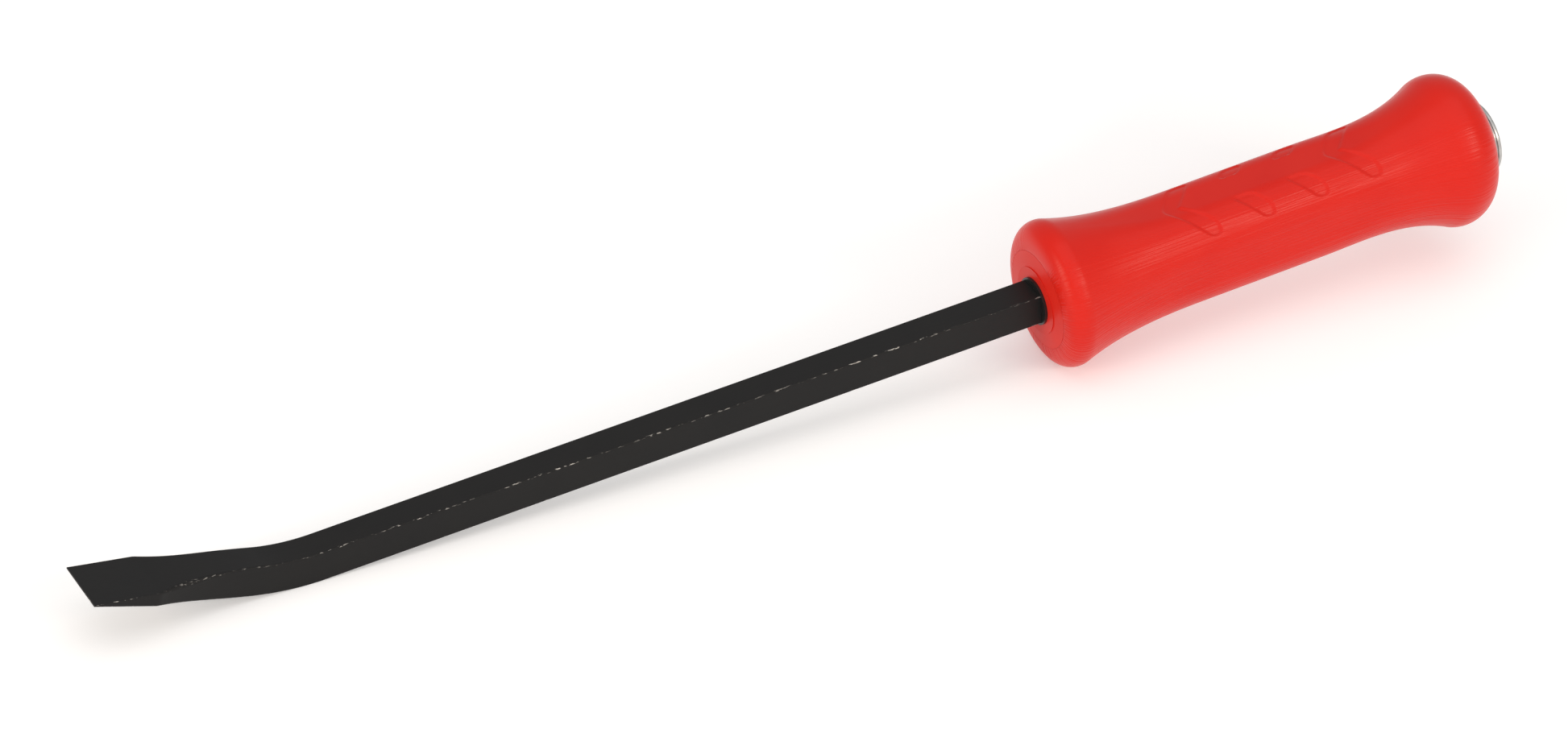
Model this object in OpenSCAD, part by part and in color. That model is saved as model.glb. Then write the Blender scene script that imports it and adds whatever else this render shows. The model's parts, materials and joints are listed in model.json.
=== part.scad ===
// Striking pry lever: a square steel bar with an upswept chisel end, a moulded two-part
// handle and a steel strike cap. Everything is drawn along the bar first: X runs from the
// chisel to the cap, Z is up from the bar's top flat, and the handle's front face is X = 0.
// set_handle() turns the handle and the tang up by the small angle that they are set at, and
// at_rest() then lays the finished tool on its bend and its front flange.

/* [Bar] */
// Side of the square bar
bar_side = 12.7; // [9:0.1:16]
// Straight length of bar in front of the handle
straight_len = 297; // [150:1:450]
// Bend angle of the chisel end
bend_angle = 16.4; // [8:0.1:25]
// Bend radius, to the middle of the bar
bend_radius = 94; // [50:1:120]
// Angle that the handle is set up from the bar
handle_set = 0.7; // [0:0.1:2]

/* [Chisel end] */
// Length from the bend to the edge
chisel_len = 68; // [60:0.5:90]
// Distance from the bend to the shoulders
shoulder_at = 42; // [38:0.1:50]
// Width across the shoulders
shoulder_w = 24.9; // [20:0.1:30]
// Width of the edge
edge_w = 25.6; // [20:0.1:32]
// Distance before the bend's end at which the sides start to flare
flare_before = 25; // [10:0.5:26]
// Distance from the bend to where the thickness starts to fall
taper_at = 0; // [0:0.5:6]
// Height of the top face over the bar's middle, at the shoulders
shoulder_top = 3.35; // [2.5:0.05:4]
// Depth of the bottom face under the bar's middle, at the shoulders
shoulder_bottom = 2.25; // [1.5:0.05:3]
// Height of the edge over the bar's middle
edge_lift = 0.85; // [0:0.05:1]
// Thickness of the edge
edge_t = 0.6; // [0.4:0.1:1.5]

/* [Grip] */
// Length of the handle
grip_len = 193; // [160:1:220]
// Half the height of the front flange
front_r = 30; // [27:0.1:34]
// Half the height of the rear flange
rear_r = 31.2; // [27:0.1:34]
// Width of the grip, as a share of its height
grip_oval = 0.914; // [0.88:0.001:1]
// Angle that the front face falls back at, outside the collar
face_draft = 6.5; // [0:0.5:9]
// Edge rounding of the front flange
front_round = 7.5; // [5:0.1:9]
// Edge rounding of the rear flange
rear_round = 13.4; // [8:0.1:15]
// Half the height across the flats of the waist
waist_half = 20.6; // [20:0.1:23]
// Corner radius of the waist, as a share of its half width
waist_corner = 0.71; // [0.6:0.01:0.95]
// Length of the flare behind the front flange
front_flare = 58; // [50:1:65]
// Length of the flare before the rear flange
rear_flare = 56; // [45:1:65]

/* [Handle core] */
// Radius of the core's tube
core_r = 13.5; // [12:0.1:14]
// Radius of the core's front disc
core_face_r = 19.7; // [17:0.1:20]
// Thickness of the core's front disc
core_face_t = 5; // [3:0.5:6]
// Radius of the core's locking rings
ring_r = 15.5; // [15:0.1:16.5]
// Length of each locking ring
ring_len = 8; // [4:1:12]
// Number of locking rings
ring_count = 4; // [2:1:5]

/* [Shank collar] */
// Outer diameter of the collar
collar_d = 19; // [18.6:0.1:22]
// Length of the collar
collar_len = 5; // [3:0.5:8]
// Length of collar that stands out of the handle
collar_proud = 1; // [0.4:0.1:2]

/* [Strike cap] */
// Outer diameter of the cap
cap_d = 28.6; // [24:0.1:32]
// Length of cap that stands out of the handle
cap_proud = 5; // [4:0.5:12]
// Depth of the cap's seat in the handle
cap_seat = 3; // [2:0.5:5]
// Chamfer of the striking edge
cap_chamfer = 1.2; // [0.6:0.1:2]
// Distance from the striking face to the cap's groove
groove_at = 1.7; // [1.4:0.1:3]
// Width of the groove
groove_w = 0.5; // [0.3:0.1:0.9]
// Depth of the groove
groove_depth = 0.5; // [0.3:0.1:1]
// Diameter of the cap's stem
stem_d = 18; // [17:0.1:20]
// Length of the cap's stem
stem_len = 6; // [4:0.5:8]
// Diameter of the bar's spigot inside the cap
spigot_d = 10; // [7:0.1:11]
// Length of the spigot
spigot_len = 12; // [9:0.5:13]

/* [Hidden] */

$fn = 64;
over = 1;
grip_steps = 13;
taper_steps = 14;
bend_steps = 10;
round_steps = 6;
corner_steps = 9;
front_power = 2.17;
rear_power = 3.05;
face_flat_r = 10;
set_at = 1.5;
flare_power = 3.2;
top_power = 1.7;
bottom_power = 1.6;

bar_half = bar_side / 2;
cap_r = cap_d / 2;
cap_end = grip_len + cap_proud;
cap_base = grip_len - cap_seat;
tang_end = cap_base - stem_len;
straight_end = -straight_len;

// A place [x, z] in line with the handle, seen along the bar
function set_point(x, z) = [
    (x + set_at) * cos(handle_set) - z * sin(handle_set) - set_at,
    (x + set_at) * sin(handle_set) + z * cos(handle_set)
];

// Middle of the front flange's rounding, along X
front_mid = (front_r - front_round - face_flat_r) * tan(face_draft) + front_round / cos(face_draft);
rear_mid = grip_len - rear_round;

// The tool rests on the bend's outer face and on the front flange's rounding: the tilt is the
// slope of the line that touches both circles.
heel_r = bend_radius + bar_half;
toe = set_point(front_mid, front_round - front_r);
rest_run = straight_len + toe.x;
rest_rise = bend_radius - toe.y;
rest_tilt = atan2(rest_rise, rest_run)
    - asin((heel_r - front_round) / norm([rest_run, rest_rise]));
floor_gap = front_round - toe.x * sin(rest_tilt) - toe.y * cos(rest_tilt);

// Ends of the laid-down tool along X, for the origin at the middle of its length
bend_end = [straight_end - bend_radius * sin(bend_angle), bend_radius * (1 - cos(bend_angle))];
edge_top = edge_lift + edge_t / 2;
edge_x = bend_end.x - chisel_len * cos(bend_angle) + edge_top * sin(bend_angle);
edge_z = bend_end.y + chisel_len * sin(bend_angle) + edge_top * cos(bend_angle);
front_x = edge_x * cos(rest_tilt) - edge_z * sin(rest_tilt);
function laid_x(place) = place.x * cos(rest_tilt) - place.y * sin(rest_tilt);
chamfer_x = laid_x(set_point(cap_end - cap_chamfer, -cap_r));
face_x = laid_x(set_point(cap_end, cap_chamfer - cap_r));
rear_x = max(chamfer_x, face_x);
middle_x = (front_x + rear_x) / 2;

// Outline of the blade from the side. A place past the bend is [u, w]: u along the bent end,
// w above its middle.
function past_bend(u, w) = [
    bend_end.x - u * cos(bend_angle) + w * sin(bend_angle),
    bend_end.y + u * sin(bend_angle) + w * cos(bend_angle)
];
function taper_share(u) = (u - taper_at) / (shoulder_at - taper_at);
function neck_top(u) = bar_half - (bar_half - shoulder_top) * pow(taper_share(u), top_power);
function neck_bottom(u) =
    -bar_half + (bar_half - shoulder_bottom) * pow(taper_share(u), bottom_power);
function taper_stop(i) = taper_at + (shoulder_at - taper_at) * i / taper_steps;
function bend_point(radius, i) =
    let (a = bend_angle * i / bend_steps)
    [straight_end - radius * sin(a), bend_radius - radius * cos(a)];

function set_corner(side) = [-set_at - side * bar_half * tan(handle_set / 2), side * bar_half];

top_line = concat(
    [set_point(tang_end, bar_half), set_corner(1)],
    [for (i = [0 : bend_steps]) bend_point(bend_radius - bar_half, i)],
    [for (i = [0 : taper_steps]) past_bend(taper_stop(i), neck_top(taper_stop(i)))],
    [past_bend(chisel_len, edge_top)]
);
bottom_line = concat(
    [past_bend(chisel_len, edge_top - edge_t)],
    [for (i = [taper_steps : -1 : 0]) past_bend(taper_stop(i), neck_bottom(taper_stop(i)))],
    [for (i = [bend_steps : -1 : 0]) bend_point(bend_radius + bar_half, i)],
    [set_corner(-1), set_point(tang_end, -bar_half)]
);

// Outline of the blade from above: the neck's sides leave the bar's sides slowly
flare_run = shoulder_at + flare_before;
flare_rise = (shoulder_w - bar_side) / 2;
function plan_x(u) = bend_end.x - u * cos(bend_angle);
function neck_half(u) = bar_half + flare_rise * pow((u + flare_before) / flare_run, flare_power);
function flare_stop(i) = -flare_before + flare_run * i / taper_steps;
function side_line(side) = concat(
    [[tang_end, side * bar_half]],
    [for (i = [0 : taper_steps]) [plan_x(flare_stop(i)), side * neck_half(flare_stop(i))]],
    [[plan_x(chisel_len) - over, side * edge_w / 2]]
);

// The grip's outline as rings of [place along X, half width, corner share]
front_slope = atan(front_power * (front_r - waist_half) / front_flare);
rear_slope = atan(rear_power * (rear_r - waist_half) / rear_flare);
front_top = front_r - front_round * (1 - cos(front_slope));
rear_top = rear_r - rear_round * (1 - cos(rear_slope));
front_start = front_mid + front_round * sin(front_slope);
rear_start = rear_mid - rear_round * sin(rear_slope);
function ring_at(x, half, share) = [x, half, 1 - (1 - waist_corner) * share];
function ease(t) = t * t * (3 - 2 * t);

front_rings = [
    ring_at(0, face_flat_r, 0),
    for (i = [0 : round_steps])
        let (a = face_draft + (90 - face_draft + front_slope) * i / round_steps)
        ring_at(front_mid - front_round * cos(a), front_r - front_round * (1 - sin(a)), 0)
];
flare_rings = [
    for (i = [1 : grip_steps])
        let (t = i / grip_steps)
        ring_at(
            front_start + front_flare * t,
            waist_half + (front_top - waist_half) * pow(1 - t, front_power),
            ease(t)
        )
];
swell_rings = [
    for (i = [grip_steps : -1 : 1])
        let (t = i / grip_steps)
        ring_at(
            rear_start - rear_flare * t,
            waist_half + (rear_top - waist_half) * pow(1 - t, rear_power),
            ease(t)
        )
];
rear_rings = [
    for (i = [round_steps : -1 : 0])
        let (a = (90 + rear_slope) * i / round_steps)
        ring_at(rear_mid + rear_round * cos(a), rear_r - rear_round * (1 - sin(a)), 0)
];
grip_rings = concat(front_rings, flare_rings, swell_rings, rear_rings);

// Points of one ring: four corner arcs joined by flats
function ring_points(ring) = [
    for (q = [0 : 3])
        for (i = [0 : corner_steps])
            let (
                radius = ring[1] * ring[2],
                reach = ring[1] - radius,
                a = 90 * (q + (i + 0.5) / (corner_steps + 1)),
                side_y = (q == 0 || q == 3) ? reach : -reach,
                side_z = (q < 2) ? reach : -reach
            )
            [ring[0], grip_oval * (side_y + radius * cos(a)), side_z + radius * sin(a)]
];
ring_n = 4 * (corner_steps + 1);
last_ring = len(grip_rings) - 1;

module at_rest() {
    translate([-middle_x, 0, floor_gap])
        rotate([0, -rest_tilt, 0])
            children();
}

// Turns a piece that is in line with the handle to the angle the handle is set at
module set_handle() {
    translate([-set_at, 0, 0])
        rotate([0, -handle_set, 0])
            translate([set_at, 0, 0])
                children();
}

// Turns a solid that stands on Z so that it lies along the bar
module along_bar(x) {
    translate([x, 0, 0])
        rotate([0, 90, 0])
            children();
}

module blade_side() {
    polygon(concat(top_line, bottom_line));
}

module blade_plan() {
    far_line = side_line(1);
    polygon(concat(side_line(-1), [for (i = [len(far_line) - 1 : -1 : 0]) far_line[i]]));
}

module blade() {
    color("dimgray")
        at_rest() {
            intersection() {
                rotate([90, 0, 0])
                    linear_extrude(2 * edge_w, center = true)
                        blade_side();
                translate([0, 0, -edge_w])
                    linear_extrude(3 * edge_w)
                        blade_plan();
            }
            set_handle()
                along_bar(tang_end - over)
                    cylinder(h = spigot_len + over, d = spigot_d);
        }
}

module square_hole(x, length) {
    translate([x, -bar_half, -bar_half])
        cube([length, bar_side, bar_side]);
}

module shank_collar() {
    color("black")
        at_rest() set_handle()
            difference() {
                along_bar(-collar_proud)
                    cylinder(h = collar_len, d = collar_d);
                square_hole(-collar_proud - over, collar_len + 2 * over);
            }
}

// The core's front disc, with the fall of the grip's front face
module core_face() {
    fall = (core_face_r - face_flat_r) * tan(face_draft);
    along_bar(0)
        rotate_extrude()
            polygon([[0, 0], [face_flat_r, 0], [core_face_r, fall], [core_face_r, core_face_t],
                [0, core_face_t]]);
}

// Outside of the core, round the front disc that is given to it
module core_body() {
    children();
    along_bar(0)
        cylinder(h = cap_base, r = core_r);
    for (i = [1 : ring_count])
        along_bar(cap_base * i / (ring_count + 1) - ring_len / 2)
            cylinder(h = ring_len, r = ring_r);
}

module handle_core() {
    color("lightcoral")
        at_rest() set_handle()
            difference() {
                core_body() core_face();
                square_hole(-over, cap_base + 2 * over);
                along_bar(-over)
                    cylinder(h = over + collar_len - collar_proud, d = collar_d);
                along_bar(tang_end)
                    cylinder(h = stem_len + over, d = stem_d);
            }
}

module grip_loft() {
    polyhedron(
        points = [for (ring = grip_rings) each ring_points(ring)],
        faces = concat(
            [[for (i = [0 : ring_n - 1]) i]],
            [[for (i = [ring_n - 1 : -1 : 0]) last_ring * ring_n + i]],
            [
                for (r = [0 : last_ring - 1])
                    for (i = [0 : ring_n - 1])
                        let (
                            a = r * ring_n + i,
                            b = r * ring_n + (i + 1) % ring_n
                        )
                        each [[a, a + ring_n, b], [b, a + ring_n, b + ring_n]]
            ]
        )
    );
}

module grip() {
    color("red")
        at_rest() set_handle()
            difference() {
                grip_loft();
                core_body()
                    along_bar(-over)
                        cylinder(h = over + core_face_t, r = core_face_r);
                along_bar(cap_base)
                    cylinder(h = cap_seat + over, r = cap_r);
            }
}

module strike_cap() {
    groove_low = cap_end - groove_at - groove_w;
    groove_high = cap_end - groove_at;
    stem_r = stem_d / 2;
    spigot_r = spigot_d / 2;
    bore_end = tang_end + spigot_len;
    color("silver")
        at_rest() set_handle()
            along_bar(0)
                rotate_extrude()
                    polygon([
                        [spigot_r, tang_end], [stem_r, tang_end], [stem_r, cap_base],
                        [cap_r, cap_base], [cap_r, groove_low],
                        [cap_r - groove_depth, groove_low], [cap_r - groove_depth, groove_high],
                        [cap_r, groove_high], [cap_r, cap_end - cap_chamfer],
                        [cap_r - cap_chamfer, cap_end], [0, cap_end], [0, bore_end],
                        [spigot_r, bore_end]
                    ]);
}

blade();
shank_collar();
handle_core();
grip();
strike_cap();
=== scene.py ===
"""Looks of the striking pry lever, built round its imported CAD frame.

Every length is in metres. Pieces are drawn along the handle first, in its own axes: X runs
from the chisel to the strike cap, Z is up from the tang's top flat, and the handle's front
face is X = 0. LAID then puts them where the CAD model lies. The bar in front of the handle
is set down from the handle's line by a small angle, and SHANK is its place.
"""

import json
import math

import bmesh
import bpy
from mathutils import Matrix, Vector


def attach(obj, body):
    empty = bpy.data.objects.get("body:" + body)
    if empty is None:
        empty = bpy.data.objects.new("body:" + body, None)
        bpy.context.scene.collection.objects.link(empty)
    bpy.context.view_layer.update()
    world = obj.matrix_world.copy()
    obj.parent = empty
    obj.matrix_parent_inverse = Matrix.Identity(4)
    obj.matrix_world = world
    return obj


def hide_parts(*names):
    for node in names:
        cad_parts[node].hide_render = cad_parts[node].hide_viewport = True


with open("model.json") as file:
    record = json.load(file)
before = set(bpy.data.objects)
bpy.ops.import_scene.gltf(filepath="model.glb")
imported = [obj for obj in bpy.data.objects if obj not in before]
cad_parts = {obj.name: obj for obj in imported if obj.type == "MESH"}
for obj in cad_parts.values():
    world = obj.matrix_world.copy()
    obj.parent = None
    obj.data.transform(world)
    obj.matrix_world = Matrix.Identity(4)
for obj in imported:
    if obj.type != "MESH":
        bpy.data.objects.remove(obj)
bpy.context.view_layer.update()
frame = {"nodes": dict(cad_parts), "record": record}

MM = 0.001

# Bar and chisel end
BAR_HALF = 6.35 * MM
BAR_EDGE = 0.55 * MM
STRAIGHT_LEN = 297 * MM
BEND_RADIUS = 94 * MM
BEND_ANGLE = math.radians(16.4)
HANDLE_SET = math.radians(0.7)
SET_AT = 1.5 * MM
CHISEL_LEN = 68 * MM
SHOULDER_AT = 42 * MM
SHOULDER_HALF = 12.45 * MM
EDGE_HALF = 12.8 * MM
FLARE_BEFORE = 25 * MM
TAPER_AT = 0
SHOULDER_TOP = 3.35 * MM
SHOULDER_BOTTOM = 2.25 * MM
EDGE_LIFT = 0.85 * MM
EDGE_THICK = 0.6 * MM
FLARE_POWER = 3.2
TOP_POWER = 1.7
BOTTOM_POWER = 1.6

# Handle
GRIP_LEN = 193 * MM
FRONT_R = 30 * MM
REAR_R = 31.2 * MM
FRONT_ROUND = 7.5 * MM
REAR_ROUND = 13.4 * MM
WAIST_HALF = 20.6 * MM
WAIST_CORNER = 0.71
FRONT_FLARE = 58 * MM
REAR_FLARE = 56 * MM
FRONT_POWER = 2.17
REAR_POWER = 3.05
GRIP_OVAL = 0.914
FACE_FLAT_R = 10 * MM
FACE_DRAFT = math.radians(6.5)
CORE_R = 13.5 * MM
CORE_FACE_R = 19.7 * MM
CORE_FACE_T = 5 * MM

# Cap and tang
CAP_R = 14.3 * MM
CAP_END = GRIP_LEN + 5 * MM
CAP_BASE = GRIP_LEN - 3 * MM
STEM_R = 9 * MM
TANG_END = CAP_BASE - 6 * MM
SPIGOT_R = 5 * MM
SPIGOT_LEN = 12 * MM


# ---------------------------------------------------------------- place of the handle's axes

def handle_axes():
    """The handle's own axes in the frame, from the striking face that the record gives."""
    face = next(m for m in frame["record"]["mounts"] if m["name"] == "strike_face")
    along = Vector(face["axis"]).normalized()
    tilt = math.atan2(along.z, along.x)
    start = Vector(face["pos_m"]) - along * CAP_END
    return Matrix.Translation(start) @ Matrix.Rotation(-tilt, 4, "Y"), start, tilt


LAID, HANDLE_START, HANDLE_TILT = handle_axes()
SHANK = (
    Matrix.Translation((-SET_AT, 0, 0))
    @ Matrix.Rotation(HANDLE_SET, 4, "Y")
    @ Matrix.Translation((SET_AT, 0, 0))
)


# ---------------------------------------------------------------- camera

def add_camera():
    data = bpy.data.cameras.new("camera")
    data.sensor_width = 36
    data.lens = 162.21
    data.clip_end = 20
    camera = bpy.data.objects.new("camera", data)
    bpy.context.scene.collection.objects.link(camera)
    aim = Vector((-16.27, -8.99, 40)) * MM
    azimuth, height, roll = math.radians(-28.03), math.radians(35.22), math.radians(1.1)
    distance = 2.609
    camera.matrix_world = (
        Matrix.Translation(aim)
        @ Matrix.Rotation(azimuth, 4, "Z")
        @ Matrix.Rotation(math.pi / 2 - height, 4, "X")
        @ Matrix.Rotation(roll, 4, "Z")
        @ Matrix.Translation((0, 0, distance))
    )
    bpy.context.scene.camera = camera


add_camera()


# ---------------------------------------------------------------- shader maths

class Value:
    """A shader socket that Python's operators work on, each adding its Math node."""

    def __init__(self, shader, socket):
        self.shader = shader
        self.socket = socket

    def math(self, operation, *others):
        return self.shader.add(
            "ShaderNodeMath", {"operation": operation},
            {i: v for i, v in enumerate((self, *others))},
        )

    def __add__(self, other):
        return self.math("ADD", other)

    __radd__ = __add__

    def __mul__(self, other):
        return self.math("MULTIPLY", other)

    __rmul__ = __mul__

    def __truediv__(self, other):
        return self.math("DIVIDE", other)

    def __rtruediv__(self, other):
        return self.shader.add("ShaderNodeMath", {"operation": "DIVIDE"}, {0: other, 1: self})

    def clamped(self):
        return self.math("MINIMUM", 1.0).math("MAXIMUM", 0.0)

    def step(self, low, high):
        """0 below low, 1 above high, and smooth between."""
        return self.shader.add(
            "ShaderNodeMapRange", {"interpolation_type": "SMOOTHSTEP"},
            {"Value": self, "From Min": low, "From Max": high},
        )


class Shader:
    """A node material whose nodes come from one method."""

    def __init__(self, name):
        self.material = bpy.data.materials.new(name)
        self.material.use_nodes = True
        self.tree = self.material.node_tree
        self.tree.nodes.clear()

    def add(self, kind, settings=None, sockets=None, out=0):
        node = self.tree.nodes.new(kind)
        for name, setting in (settings or {}).items():
            setattr(node, name, setting)
        for name, value in (sockets or {}).items():
            if isinstance(value, Value):
                self.tree.links.new(value.socket, node.inputs[name])
            else:
                node.inputs[name].default_value = value
        return Value(self, node.outputs[out]) if node.outputs else None

    def place(self):
        """Coordinates in the handle's own axes, in metres."""
        spot = self.add("ShaderNodeTexCoord", out="Object")
        return self.add(
            "ShaderNodeMapping", {"vector_type": "TEXTURE"},
            {"Vector": spot, "Location": HANDLE_START, "Rotation": (0, -HANDLE_TILT, 0)},
        )

    def split(self, vector):
        return [self.add("ShaderNodeSeparateXYZ", sockets={0: vector}, out=i) for i in range(3)]

    def join(self, x, y, z):
        return self.add("ShaderNodeCombineXYZ", sockets={0: x, 1: y, 2: z})

    def scaled(self, vector, factors):
        return self.add(
            "ShaderNodeVectorMath", {"operation": "MULTIPLY"}, {0: vector, 1: factors}
        )

    def noise(self, vector, scale, detail=3.0, roughness=0.5):
        return self.add(
            "ShaderNodeTexNoise", {},
            {"Vector": vector, "Scale": scale, "Detail": detail, "Roughness": roughness},
        )

    def mix(self, share, first, second):
        """A colour between first and second."""
        return self.add(
            "ShaderNodeMix", {"data_type": "RGBA"}, {0: share, 6: first, 7: second}, out=2
        )

    def bump(self, height, distance, strength=1.0, normal=None):
        sockets = {"Height": height, "Distance": distance, "Strength": strength}
        if normal is not None:
            sockets["Normal"] = normal
        return self.add("ShaderNodeBump", {}, sockets)

    def surface(self, **sockets):
        named = {name.replace("_", " "): value for name, value in sockets.items()}
        bsdf = self.add("ShaderNodeBsdfPrincipled", {}, named)
        self.add("ShaderNodeOutputMaterial", {}, {"Surface": bsdf})
        return self.material


# ---------------------------------------------------------------- materials

def black_steel():
    """Satin black finish on forged steel, rubbed bright in specks along the edges."""
    s = Shader("black_steel")
    place = s.place()
    cloud = s.noise(place, 60, 4)
    grain = s.noise(place, 900, 3)
    scuffs = s.noise(s.scaled(place, (90, 900, 900)), 1, 3, 0.6)
    edge = s.add("ShaderNodeAttribute", {"attribute_name": "edge"}, out="Fac")
    dashes = s.noise(s.scaled(place, (420, 1500, 1500)), 1, 2).step(0.56, 0.66)
    stretches = s.noise(place, 45, 2).step(0.42, 0.62)
    worn = (edge * dashes * (0.25 + 0.75 * stretches)).clamped()
    black = s.mix(cloud, (0.0065, 0.0065, 0.007, 1), (0.012, 0.0115, 0.011, 1))
    colour = s.mix(worn, black, (0.42, 0.40, 0.37, 1))
    rough = 0.40 + 0.12 * cloud + 0.08 * scuffs
    height = 0.6 * grain + 0.4 * scuffs
    return s.surface(
        Base_Color=colour, Roughness=rough, Metallic=worn * 0.8, Specular_IOR_Level=0.18,
        Normal=s.bump(height, 0.00004, 0.6),
    )


def black_collar():
    """Smooth black finish on a turned ring."""
    s = Shader("black_collar")
    x, y, z = s.split(s.place())
    rings = s.noise(s.join(x * 2500, 0.0, 0.0), 1, 2)
    return s.surface(
        Base_Color=s.mix(rings, (0.006, 0.006, 0.006, 1), (0.012, 0.012, 0.012, 1)),
        Roughness=0.28 + 0.1 * rings,
    )


def core_plastic():
    """Smooth moulded red plastic of the handle's core."""
    s = Shader("core_plastic")
    place = s.place()
    cloud = s.noise(place, 80, 3)
    grain = s.noise(place, 1800, 2)
    return s.surface(
        Base_Color=s.mix(cloud, (0.58, 0.016, 0.009, 1), (0.63, 0.022, 0.012, 1)),
        Specular_IOR_Level=0.16,
        Roughness=0.34 + 0.08 * cloud,
        Normal=s.bump(grain, 0.00002, 0.4),
    )


def red_grip():
    """Moulded red plastic, with the fine lengthwise lines that the tool left in it."""
    s = Shader("red_grip")
    place = s.place()
    x, y, z = s.split(place)
    radius = (y * y + z * z).math("SQRT")
    lines = s.noise(s.join(x * 9, y / radius * 26, z / radius * 26), 1, 2, 0.65)
    sides = (z / radius).step(0.95, 0.8)
    cloud = s.noise(place, 55, 3)
    grain = s.noise(place, 2200, 2)
    colour = s.mix(cloud, (0.58, 0.012, 0.006, 1), (0.63, 0.018, 0.009, 1))
    return s.surface(
        Base_Color=colour, Roughness=0.26 + 0.06 * cloud, Specular_IOR_Level=0.18,
        Normal=s.bump(grain, 0.00001, 0.3, s.bump(lines * sides, 0.00035, 0.9)),
    )


def bright_steel():
    """Turned bright steel, with fine rings from the lathe."""
    s = Shader("bright_steel")
    x, y, z = s.split(s.place())
    radius = (y * y + z * z).math("SQRT")
    rings = s.noise(s.join(x * 4000, radius * 4000, 0.0), 1, 3)
    stains = s.noise(s.place(), 350, 3)
    return s.surface(
        Base_Color=s.mix(stains, (0.34, 0.34, 0.33, 1), (0.62, 0.62, 0.60, 1)),
        Metallic=1.0, Roughness=0.24 + 0.2 * rings,
        Normal=s.bump(rings, 0.00003, 0.5),
    )


# ---------------------------------------------------------------- mesh help

def held(t):
    """A number kept between 0 and 1."""
    return min(max(t, 0), 1)


def eased(t):
    """0 below 0, 1 above 1, and smooth between."""
    t = held(t)
    return t * t * (3 - 2 * t)


def finish_piece(bm, name, material, node, sharp_over=40):
    """Turns a bmesh drawn in the handle's axes into a piece that stands for a CAD node."""
    bmesh.ops.transform(bm, matrix=LAID, verts=bm.verts)
    bmesh.ops.recalc_face_normals(bm, faces=bm.faces)
    mesh = bpy.data.meshes.new(name)
    bm.to_mesh(mesh)
    bm.free()
    mesh.polygons.foreach_set("use_smooth", [True] * len(mesh.polygons))
    mesh.set_sharp_from_angle(angle=math.radians(sharp_over))
    mesh.materials.append(material)
    piece = bpy.data.objects.new(name, mesh)
    bpy.context.scene.collection.objects.link(piece)
    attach(piece, "root")
    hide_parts(node)
    return piece


def spun(profile, steps):
    """A closed outline of (x, radius) points, turned once about the handle's axis."""
    bm = bmesh.new()
    corners = [bm.verts.new((x, 0, r)) for x, r in profile]
    edges = [bm.edges.new((a, b)) for a, b in zip(corners, corners[1:] + corners[:1])]
    bmesh.ops.spin(
        bm, geom=corners + edges, cent=(0, 0, 0), axis=(1, 0, 0), dvec=(0, 0, 0),
        angle=2 * math.pi, steps=steps, use_merge=True, use_duplicate=False,
    )
    return bm


def arc(centre, radius, start, end, steps):
    """Points (x, r) on an arc: 0 degrees points along +X, 90 degrees away from the axis."""
    turn = [math.radians(start + (end - start) * i / steps) for i in range(steps + 1)]
    return [(centre[0] + radius * math.cos(a), centre[1] + radius * math.sin(a)) for a in turn]


# ---------------------------------------------------------------- blade

def neck_share(u):
    """How far the taper has gone at a distance u past the bend, from 0 to 1."""
    return held((u - TAPER_AT) / (SHOULDER_AT - TAPER_AT))


def blade_top(u):
    if u < SHOULDER_AT:
        return BAR_HALF - (BAR_HALF - SHOULDER_TOP) * neck_share(u) ** TOP_POWER
    t = (u - SHOULDER_AT) / (CHISEL_LEN - SHOULDER_AT)
    return SHOULDER_TOP + (EDGE_LIFT + EDGE_THICK / 2 - SHOULDER_TOP) * t


def blade_bottom(u):
    if u < SHOULDER_AT:
        return -BAR_HALF + (BAR_HALF - SHOULDER_BOTTOM) * neck_share(u) ** BOTTOM_POWER
    t = (u - SHOULDER_AT) / (CHISEL_LEN - SHOULDER_AT)
    return -SHOULDER_BOTTOM + (EDGE_LIFT - EDGE_THICK / 2 + SHOULDER_BOTTOM) * t


def blade_half(u):
    """Half the blade's width: the sides leave the bar slowly and end at the shoulder."""
    if u < -FLARE_BEFORE:
        return BAR_HALF
    if u < SHOULDER_AT:
        share = (u + FLARE_BEFORE) / (SHOULDER_AT + FLARE_BEFORE)
        return BAR_HALF + (SHOULDER_HALF - BAR_HALF) * share ** FLARE_POWER
    t = (u - SHOULDER_AT) / (CHISEL_LEN - SHOULDER_AT)
    return SHOULDER_HALF + (EDGE_HALF - SHOULDER_HALF) * t


ROLL_START = 10 * MM
ROLL_SKEW = 1.6
ROLL_TOP = 0.9 * MM
ROLL_BOTTOM = 0.4 * MM
CHISEL_CORNER = 0.25 * MM
CORNER_LIMIT = 0.55


def corner_radius(u, top):
    """The flare's edges are rolled by the forging, most of all on its upper side."""
    half_thick = (blade_top(u) - blade_bottom(u)) / 2
    share = held((u - ROLL_START) / (SHOULDER_AT - ROLL_START))
    roll = max(math.sin(math.pi * share ** ROLL_SKEW), 0)
    radius = BAR_EDGE + (ROLL_TOP if top else ROLL_BOTTOM) * roll
    if u > SHOULDER_AT:
        radius = CHISEL_CORNER
    return min(radius, CORNER_LIMIT * half_thick)


RING_CORNER_STEPS = 3
SUPPORT_GAP = 0.3 * MM
SUPPORT_SHARE = 0.3
CORNERS = ((1, 1), (-1, 1), (-1, -1), (1, -1))


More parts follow.
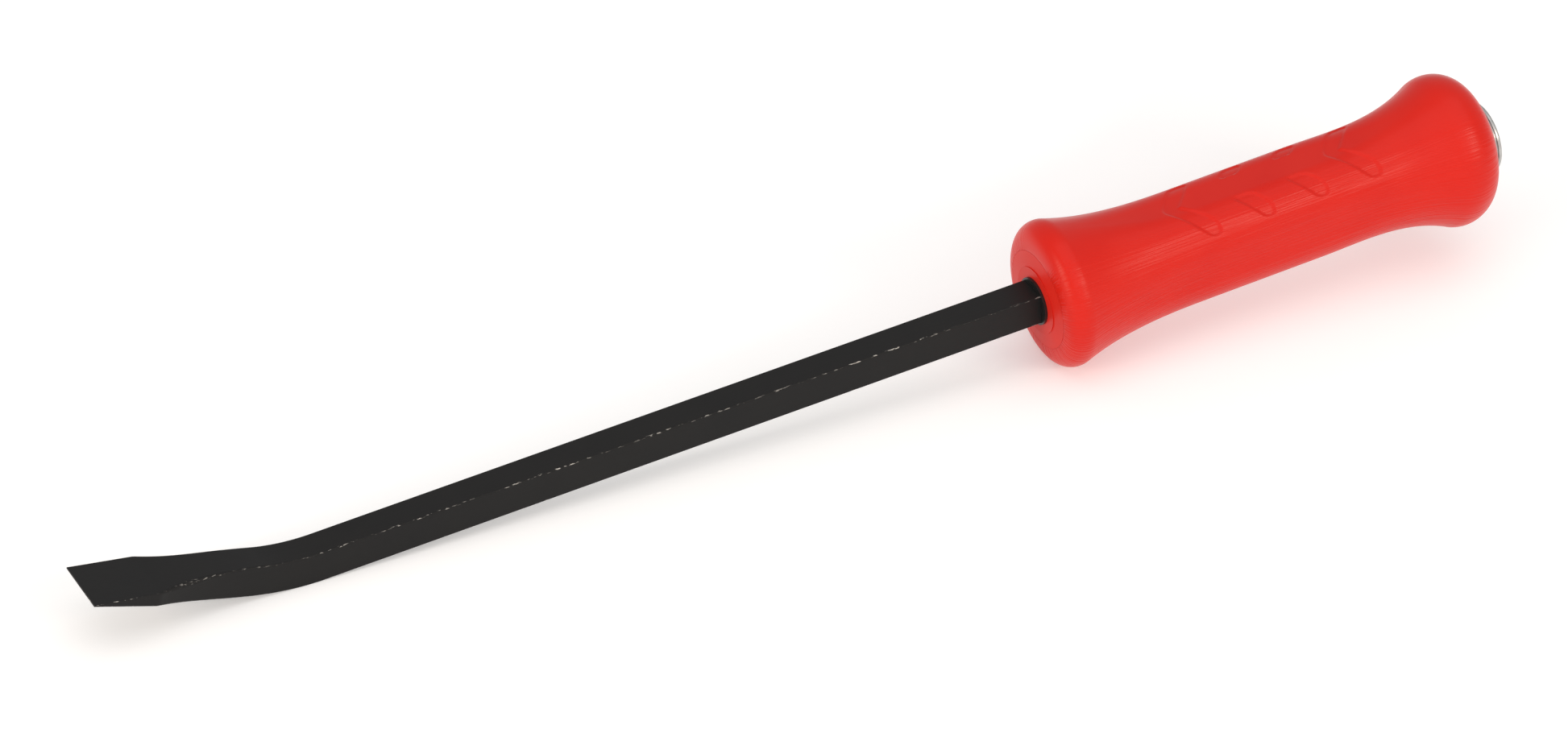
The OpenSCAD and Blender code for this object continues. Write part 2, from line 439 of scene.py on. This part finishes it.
def section(half, top, bottom, top_radius, bottom_radius):
    """Points (y, z, on_edge) round one cross-section, with a support point beside each arc."""
    points = []
    for quarter, (side_y, side_z) in enumerate(CORNERS):
        radius = top_radius if side_z > 0 else bottom_radius
        centre_y = side_y * (half - radius)
        centre_z = top - radius if side_z > 0 else bottom + radius
        room = min(half - radius, (top - bottom) / 2)
        support = min(SUPPORT_GAP, SUPPORT_SHARE * room)
        for i in range(-1, RING_CORNER_STEPS + 2):
            turn = min(max(i, 0), RING_CORNER_STEPS) / RING_CORNER_STEPS
            a = math.pi / 2 * (quarter + turn)
            y, z = centre_y + radius * math.cos(a), centre_z + radius * math.sin(a)
            if i < 0:
                y, z = y + support * math.sin(a), z - support * math.cos(a)
            if i > RING_CORNER_STEPS:
                y, z = y - support * math.sin(a), z + support * math.cos(a)
            points.append((y, z, 1.0 if 0 < i < RING_CORNER_STEPS else 0.0))
    return points


STRAIGHT_STEPS = 24
BEND_STEPS = 24
CHISEL_STEPS = 68


def blade_stations():
    """(matrix to the handle's axes, section) of each ring, from the spigot to the edge."""
    plain = section(BAR_HALF, BAR_HALF, -BAR_HALF, BAR_EDGE, BAR_EDGE)
    spigot = []
    for y, z, _ in plain:
        reach = math.hypot(y, z)
        spigot.append((y / reach * SPIGOT_R, z / reach * SPIGOT_R, 0.0))
    stations = [
        (Matrix.Translation((TANG_END + SPIGOT_LEN, 0, 0)), spigot),
        (Matrix.Translation((TANG_END, 0, 0)), spigot),
        (Matrix.Translation((TANG_END, 0, 0)), plain),
        (Matrix.Translation((SET_AT, 0, 0)), plain),
    ]
    start = -2 * SET_AT
    for i in range(STRAIGHT_STEPS + 1):
        x = start + (-STRAIGHT_LEN - start) * i / STRAIGHT_STEPS
        stations.append((SHANK @ Matrix.Translation((x, 0, 0)), plain))
    pivot = Vector((-STRAIGHT_LEN, 0, BEND_RADIUS))
    turned = SHANK
    for i in range(1, BEND_STEPS + 1):
        angle = BEND_ANGLE * i / BEND_STEPS
        turned = (
            SHANK @ Matrix.Translation(pivot) @ Matrix.Rotation(angle, 4, "Y")
            @ Matrix.Translation((0, 0, -BEND_RADIUS))
        )
        half = blade_half(-BEND_RADIUS * (BEND_ANGLE - angle))
        ring = section(half, BAR_HALF, -BAR_HALF, BAR_EDGE, BAR_EDGE)
        stations.append((turned, ring))
    for i in range(1, CHISEL_STEPS + 1):
        u = CHISEL_LEN * i / CHISEL_STEPS
        ring = section(
            blade_half(u), blade_top(u), blade_bottom(u),
            corner_radius(u, True), corner_radius(u, False),
        )
        stations.append((turned @ Matrix.Translation((-u, 0, 0)), ring))
    return stations


def put_ring(ring, place, points, edge_layer):
    """Moves a ring's vertices to a section's points, and marks those on its rounded edges."""
    for vert, (y, z, on_edge) in zip(ring, points):
        vert.co = place @ Vector((0, y, z))
        vert[edge_layer] = on_edge


def extruded_ring(bm, ring):
    """Extrudes a ring of vertices and gives the new ring in the same order."""
    edges = [bm.edges.get((a, b)) for a, b in zip(ring, ring[1:] + ring[:1])]
    made = bmesh.ops.extrude_edge_only(bm, edges=edges)["geom"]
    new = {v for v in made if isinstance(v, bmesh.types.BMVert)}
    return [next(e.other_vert(v) for e in v.link_edges if e.other_vert(v) in new) for v in ring]


def make_blade():
    bm = bmesh.new()
    edge_layer = bm.verts.layers.float.new("edge")
    stations = blade_stations()
    ring = bmesh.ops.create_circle(bm, cap_ends=False, segments=len(stations[0][1]), radius=1)
    ring = list(ring["verts"])
    first = ring
    put_ring(first, *stations[0], edge_layer)
    for place, points in stations[1:]:
        ring = extruded_ring(bm, ring)
        put_ring(ring, place, points, edge_layer)
    for loop in (first, ring):
        loop_edges = [bm.edges.get((a, b)) for a, b in zip(loop, loop[1:] + loop[:1])]
        bmesh.ops.contextual_create(bm, geom=loop_edges)
    return finish_piece(bm, "pry_blade", black_steel(), "blade")


# ---------------------------------------------------------------- handle

GRIP_STEPS = 240
FRONT_ROUND_STEPS = 16
REAR_ROUND_STEPS = 24
FLARE_STEP = 0.62 * MM
LIP_R = 0.15 * MM
LIP_STEPS = 3
MOUTH_SPARE = 0.5 * MM
OVAL_OVER = 5 * MM

FRONT_MID = (FRONT_R - FRONT_ROUND - FACE_FLAT_R) * math.tan(FACE_DRAFT)
FRONT_MID += FRONT_ROUND / math.cos(FACE_DRAFT)
REAR_MID = GRIP_LEN - REAR_ROUND
FRONT_SLOPE = math.atan(FRONT_POWER * (FRONT_R - WAIST_HALF) / FRONT_FLARE)
REAR_SLOPE = math.atan(REAR_POWER * (REAR_R - WAIST_HALF) / REAR_FLARE)


def face_fall(radius):
    """How far the handle's front face has fallen back, at a distance from the axis."""
    return max(radius - FACE_FLAT_R, 0) * math.tan(FACE_DRAFT)


def waist_share(x):
    """0 on the flanges and 1 along the waist, where the section is most square."""
    front_start = FRONT_MID + FRONT_ROUND * math.sin(FRONT_SLOPE)
    rear_start = REAR_MID - REAR_ROUND * math.sin(REAR_SLOPE)
    return eased(min((x - front_start) / FRONT_FLARE, (rear_start - x) / REAR_FLARE))


def flare(top, from_crest, length, power):
    """Half the handle's height at a distance from the crest of a flange."""
    return WAIST_HALF + (top - WAIST_HALF) * (1 - held(from_crest / length)) ** power


def grip_outline():
    """Closed outline (x, radius) of the grip's wall: outside first, then the bore."""
    draft = math.degrees(FACE_DRAFT)
    front_centre = (FRONT_MID, FRONT_R - FRONT_ROUND)
    front_end = 90 - math.degrees(FRONT_SLOPE)
    front = arc(front_centre, FRONT_ROUND, 180 - draft, front_end, FRONT_ROUND_STEPS)
    rear_centre = (REAR_MID, REAR_R - REAR_ROUND)
    rear = arc(rear_centre, REAR_ROUND, 90 + math.degrees(REAR_SLOPE), 0, REAR_ROUND_STEPS)
    outline = list(front)
    start, end = front[-1], rear[0]
    steps = round((end[0] - start[0]) / FLARE_STEP)
    for i in range(1, steps):
        x = start[0] + (end[0] - start[0]) * i / steps
        front_half = flare(start[1], x - start[0], FRONT_FLARE, FRONT_POWER)
        rear_half = flare(end[1], end[0] - x, REAR_FLARE, REAR_POWER)
        outline.append((x, max(front_half, rear_half)))
    outline += rear
    outline += arc((GRIP_LEN - LIP_R, CAP_R + LIP_R), LIP_R, 0, -90, LIP_STEPS)
    outline += [(CAP_BASE, CAP_R), (CAP_BASE, CORE_R), (CORE_FACE_T, CORE_R)]
    outline += [(CORE_FACE_T, CORE_FACE_R)]
    mouth = (face_fall(CORE_FACE_R) + LIP_R, CORE_FACE_R + LIP_R)
    outline += arc(mouth, LIP_R, -90, -180 - draft, LIP_STEPS)
    return outline


def squared(radius, share, angle):
    """Distance from the axis to a rounded square of half width radius, at an angle."""
    corner = radius * (1 - (1 - WAIST_CORNER) * share)
    reach = radius - corner
    a = abs((angle + math.pi / 4) % (math.pi / 2) - math.pi / 4)
    if radius * math.tan(a) <= reach:
        return radius / math.cos(a)
    along = reach * (math.cos(a) + math.sin(a))
    return along + math.sqrt(along * along - 2 * reach * reach + corner * corner)


# Tread of four recessed arrowheads on the grip's upper face, set a little to one side. The
# middle two are broken in the middle.
ARROW_FIRST = 55.3 * MM
ARROW_PITCH = 23.5 * MM
ARROW_COUNT = 4
ARROW_DEPTH = 0.6 * MM
ARROW_SWEEP = 0.81
ARROW_NOSE = 2.4 * MM
ARROW_THICK = 6.3 * MM
ARROW_REACH = 16.8 * MM
ARROW_NEAR = 18.4 * MM
ARROW_FAR = 14.8 * MM
ARROW_GAP_NEAR = 5.9 * MM
ARROW_GAP_FAR = 8.4 * MM
ARROW_ASIDE = 2.5 * MM
ARROW_ROUND = 1.7 * MM
ARROW_WALL = 0.8 * MM
ARROW_POINT = 6 * MM
TREAD_CLEAR = 3 * MM


def arrow_distance(x, across, apex, broken):
    """Distance outside one arrowhead's outline, below 0 inside it."""
    aside = abs(across)
    lean = math.hypot(1, ARROW_SWEEP)
    nose = math.hypot(ARROW_SWEEP * aside, ARROW_NOSE) - ARROW_NOSE
    inner = (x - apex - ARROW_THICK - ARROW_SWEEP * aside) / lean
    sides = [
        (apex + nose - x) / lean,
        x - apex - ARROW_REACH,
        aside - (ARROW_NEAR if across < 0 else ARROW_FAR),
    ]
    if broken:
        sides.append((ARROW_GAP_NEAR if across < 0 else ARROW_GAP_FAR) - aside)
    rounding = ARROW_ROUND * min(aside / ARROW_POINT, 1)
    sides = [d + rounding for d in (inner, *sides)]
    outside = math.sqrt(sum(max(d, 0) ** 2 for d in sides))
    return outside + min(max(sides), 0) - rounding


def tread_depth(x, across):
    """How deep the tread is cut at a place along the handle and across its upper face."""
    last = ARROW_FIRST + ARROW_PITCH * (ARROW_COUNT - 1) + ARROW_REACH
    if x < ARROW_FIRST - ARROW_WALL or x > last + ARROW_WALL:
        return 0.0
    distance = min(
        arrow_distance(x, across, ARROW_FIRST + ARROW_PITCH * i, 0 < i < ARROW_COUNT - 1)
        for i in range(ARROW_COUNT)
    )
    return ARROW_DEPTH * eased(0.5 - distance / ARROW_WALL)


def across_section(radius, share, y):
    """Length along the skin from the middle of the upper face to the place at y."""
    corner = radius * (1 - (1 - WAIST_CORNER) * share)
    reach = radius - corner
    if abs(y) <= reach:
        return y
    return math.copysign(reach + corner * math.asin(min((abs(y) - reach) / corner, 1)), y)


def oval_share(radius):
    """The outside is oval and the bores are round: the faces between go over smoothly."""
    return 1 + (GRIP_OVAL - 1) * eased((radius - CAP_R) / OVAL_OVER)


def make_grip():
    bm = spun(grip_outline(), GRIP_STEPS)
    for vert in bm.verts:
        x, y, z = vert.co
        radius = math.hypot(y, z)
        in_mouth = radius < CORE_FACE_R + MOUTH_SPARE and x < CORE_FACE_T + MOUTH_SPARE
        if in_mouth or radius < CAP_R + 2 * LIP_R:
            continue
        share = waist_share(x)
        angle = math.atan2(y, z)
        skin = squared(radius, share, angle)
        across = across_section(radius, share, skin * math.sin(angle)) + ARROW_ASIDE
        on_top = radius > CAP_R + TREAD_CLEAR and z > 0
        depth = tread_depth(x, across) if on_top else 0
        scale = (skin - depth) / radius
        vert.co = (x, y * scale * oval_share(radius), z * scale)
    return finish_piece(bm, "red_grip", red_grip(), "grip", sharp_over=50)


# ---------------------------------------------------------------- cap, core and collar

CAP_STEPS = 160
CAP_ROUND = 0.9 * MM
GROOVE_DEPTH = 0.5 * MM
GROOVE_WIDTH = 0.5 * MM
GROOVE_AT = 1.7 * MM
GROOVE_LIP = 0.15 * MM
POLE_R = 0.001 * MM
CAP_FACE_RING = 1 * MM


def make_cap():
    groove_r = CAP_R - GROOVE_DEPTH
    lip_r = CAP_R - GROOVE_LIP
    groove_high = CAP_END - GROOVE_AT
    groove_low = groove_high - GROOVE_WIDTH
    bore_end = TANG_END + SPIGOT_LEN
    outline = [(TANG_END, SPIGOT_R), (TANG_END, STEM_R), (CAP_BASE, STEM_R), (CAP_BASE, CAP_R)]
    outline += arc((groove_low - GROOVE_LIP, lip_r), GROOVE_LIP, 90, 0, LIP_STEPS)
    outline += [(groove_low, groove_r), (groove_high, groove_r)]
    outline += arc((groove_high + GROOVE_LIP, lip_r), GROOVE_LIP, 180, 90, LIP_STEPS)
    outline += arc((CAP_END - CAP_ROUND, CAP_R - CAP_ROUND), CAP_ROUND, 90, 0, 2 * LIP_STEPS)
    outline += [(CAP_END, CAP_FACE_RING), (CAP_END, POLE_R), (bore_end, POLE_R)]
    outline += [(bore_end, SPIGOT_R)]
    bm = spun(outline, CAP_STEPS)
    bmesh.ops.remove_doubles(bm, verts=bm.verts, dist=10 * POLE_R)
    steel = bright_steel()
    return finish_piece(bm, "strike_cap_turned", steel, "strike_cap", sharp_over=30)


def use_cad_node(name, material):
    node = frame["nodes"][name]
    node.data.materials.clear()
    node.data.materials.append(material)


# ---------------------------------------------------------------- floor and lights

def floor_material():
    """Pale floor that glows a little, so that the shadows on it stay light."""
    s = Shader("studio_floor")
    spot = s.add("ShaderNodeTexCoord", out="Object")
    cloud = s.noise(spot, 3, 2)
    return s.surface(
        Base_Color=s.mix(cloud, (0.77, 0.77, 0.77, 1), (0.79, 0.79, 0.79, 1)), Roughness=0.9,
        Emission_Color=(1, 1, 1, 1), Emission_Strength=0.3,
    )


def add_floor():
    bm = bmesh.new()
    bmesh.ops.create_grid(bm, x_segments=8, y_segments=8, size=4)
    mesh = bpy.data.meshes.new("studio_floor")
    bm.to_mesh(mesh)
    bm.free()
    mesh.materials.append(floor_material())
    floor = bpy.data.objects.new("studio_floor", mesh)
    bpy.context.scene.collection.objects.link(floor)


def add_softbox(name, place, aim, size, power, colour=(1, 1, 1)):
    data = bpy.data.lights.new(name, "AREA")
    data.shape = "RECTANGLE"
    data.size, data.size_y = size
    data.energy = power
    data.color = colour
    light = bpy.data.objects.new(name, data)
    bpy.context.scene.collection.objects.link(light)
    place, aim = Vector(place), Vector(aim)
    turn = (aim - place).to_track_quat("-Z", "Y")
    light.matrix_world = Matrix.Translation(place) @ turn.to_matrix().to_4x4()


def add_world(strength):
    world = bpy.data.worlds.new("studio")
    world.use_nodes = True
    background = world.node_tree.nodes["Background"]
    background.inputs["Color"].default_value = (1, 1, 1, 1)
    background.inputs["Strength"].default_value = strength
    bpy.context.scene.world = world


make_blade()
make_grip()
make_cap()
use_cad_node("handle_core", core_plastic())
use_cad_node("shank_collar", black_collar())

add_floor()
WARM = (1, 0.82, 0.66)
add_softbox("key", (0.2, -2.1, 1.3), (0, 0, 0), (2.8, 1.0), 11.5)
add_softbox("overhead", (0, -0.4, 2.2), (0, 0, 0), (3.2, 2.0), 13)
add_softbox("strip", (0.9, -1.5, 0.86), (0.2, 0, 0.05), (0.8, 0.12), 8, WARM)
add_softbox("front", (-2.2, -0.3, 0.8), (0, 0, 0.03), (1.2, 1.2), 23, WARM)
add_world(0.58)
bpy.context.scene.view_settings.view_transform = "Standard"
